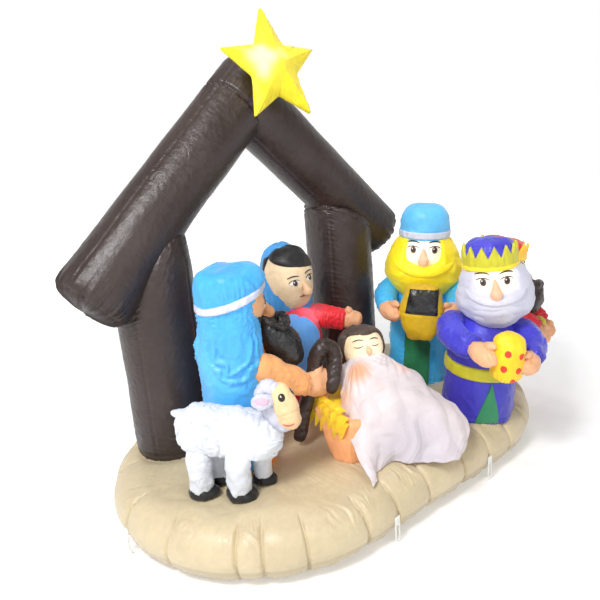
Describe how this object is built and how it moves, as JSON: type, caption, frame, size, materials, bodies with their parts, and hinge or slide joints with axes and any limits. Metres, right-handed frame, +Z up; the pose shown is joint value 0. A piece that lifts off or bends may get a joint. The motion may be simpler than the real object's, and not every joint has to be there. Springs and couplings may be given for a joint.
{
  "type": "inflatable nativity scene",
  "caption": "Air-blown lit nativity display: stable frame with star, robed figures, crib with child and a sheep on one cushioned base, with blower, lamps and zip.",
  "frame": {"origin": "centre of the base cushion underside, on the ground", "axes": "+X to the right seen from the front, along the long side of the base; +Y to the back, -Y is the front the stable faces; +Z up"},
  "size_m": [2.1404, 1.5024, 2.0022],
  "materials": {
    "base_fabric": "satin polyester",
    "frame_fabric": "satin polyester",
    "star_fabric": "satin polyester, lit from inside",
    "webbing": "woven webbing",
    "zip_tape": "woven tape with coil",
    "zip_metal": "satin",
    "black_plastic": "fine texture",
    "motor_steel": "satin",
    "fan_plastic": "smooth",
    "screw_steel": "satin",
    "cable": "smooth",
    "lamp": "frosted",
    "orange_fabric": "satin polyester",
    "sky_fabric": "satin polyester",
    "tan_fabric": "satin polyester",
    "band_fabric": "satin polyester",
    "black_fabric": "satin polyester",
    "peach_fabric": "satin polyester",
    "red_fabric": "satin polyester",
    "crib_fabric": "satin polyester",
    "hay_fabric": "satin polyester",
    "swaddle_fabric": "satin polyester",
    "blanket_fabric": "thin sheer cloth",
    "white_fabric": "quilted satin polyester",
    "cream_fabric": "satin polyester",
    "lavender_fabric": "satin polyester",
    "hand_fabric": "satin polyester",
    "green_fabric": "satin polyester",
    "azure_fabric": "satin polyester",
    "gold_fabric": "satin polyester",
    "yellow_fabric": "satin polyester",
    "pale_fabric": "satin polyester",
    "indigo_fabric": "satin polyester",
    "olive_fabric": "satin polyester",
    "beard_fabric": "satin polyester",
    "brown_fabric": "satin polyester",
    "amber_fabric": "satin polyester"
  },
  "bodies": {
    "display": {"base_cushion": "base_fabric", "posts": "frame_fabric", "roof_beams": "frame_fabric", "star": "star_fabric", "tether_loops": "webbing", "zipper_tape": "zip_tape", "blower_housing": "black_plastic", "blower_grille": "black_plastic", "blower_motor": "motor_steel", "blower_screws": "screw_steel", "light_harness": "cable", "lamps": "lamp", "shepherd_robe": "orange_fabric", "shepherd_cape": "sky_fabric", "shepherd_head": "tan_fabric", "shepherd_band": "band_fabric", "shepherd_beard": "black_fabric", "shepherd_sleeves": "peach_fabric", "shepherd_crook": "frame_fabric", "mother_dress": "red_fabric", "mother_apron": "sky_fabric", "mother_veil": "sky_fabric", "mother_head": "tan_fabric", "mother_hair": "black_fabric", "mother_sleeves": "red_fabric", "manger": "crib_fabric", "hay": "hay_fabric", "child_body": "swaddle_fabric", "child_head": "tan_fabric", "blanket": "blanket_fabric", "sheep_body": "white_fabric", "sheep_head": "cream_fabric", "sheep_ears": "lavender_fabric", "sheep_legs": "white_fabric", "hands": "hand_fabric", "king_panels": "green_fabric", "king1_robe": "azure_fabric", "king1_sleeves": "azure_fabric", "king1_gift": "gold_fabric", "king1_beard": "yellow_fabric", "king1_head": "pale_fabric", "king1_hat": "azure_fabric", "king1_band": "band_fabric", "king2_robe": "indigo_fabric", "king2_belt": "olive_fabric", "king2_sleeves": "indigo_fabric", "king2_gift": "yellow_fabric", "king2_beard": "beard_fabric", "king2_head": "pale_fabric", "king2_crown": "olive_fabric", "king2_cap": "indigo_fabric", "king3_robe": "red_fabric", "king3_sleeves": "red_fabric", "king3_gift": "olive_fabric", "king3_beard": "brown_fabric", "king3_head": "tan_fabric", "king3_crown": "amber_fabric"},
    "fan_rotor": {"blower_impeller": "fan_plastic"},
    "zip_runner": {"zipper_slider": "zip_metal"},
    "zip_tab": {"zipper_pull": "zip_metal"}
  },
  "joints": [
    {"name": "impeller_spin", "type": "hinge", "parent": "display", "child": "fan_rotor", "pos_m": [0.11, 0.64, 0.1065], "axis": [0, 1, 0], "continuous": true},
    {"name": "zip_slide", "type": "slide", "parent": "display", "child": "zip_runner", "axis": [1, 0, 0], "range_m": [-0.27, 0]},
    {"name": "zip_pull_flip", "type": "hinge", "parent": "zip_runner", "child": "zip_tab", "pos_m": [-0.082, 0.6704, 0.1065], "axis": [0, 0, 1], "range_deg": [0, 175]}
  ]
}
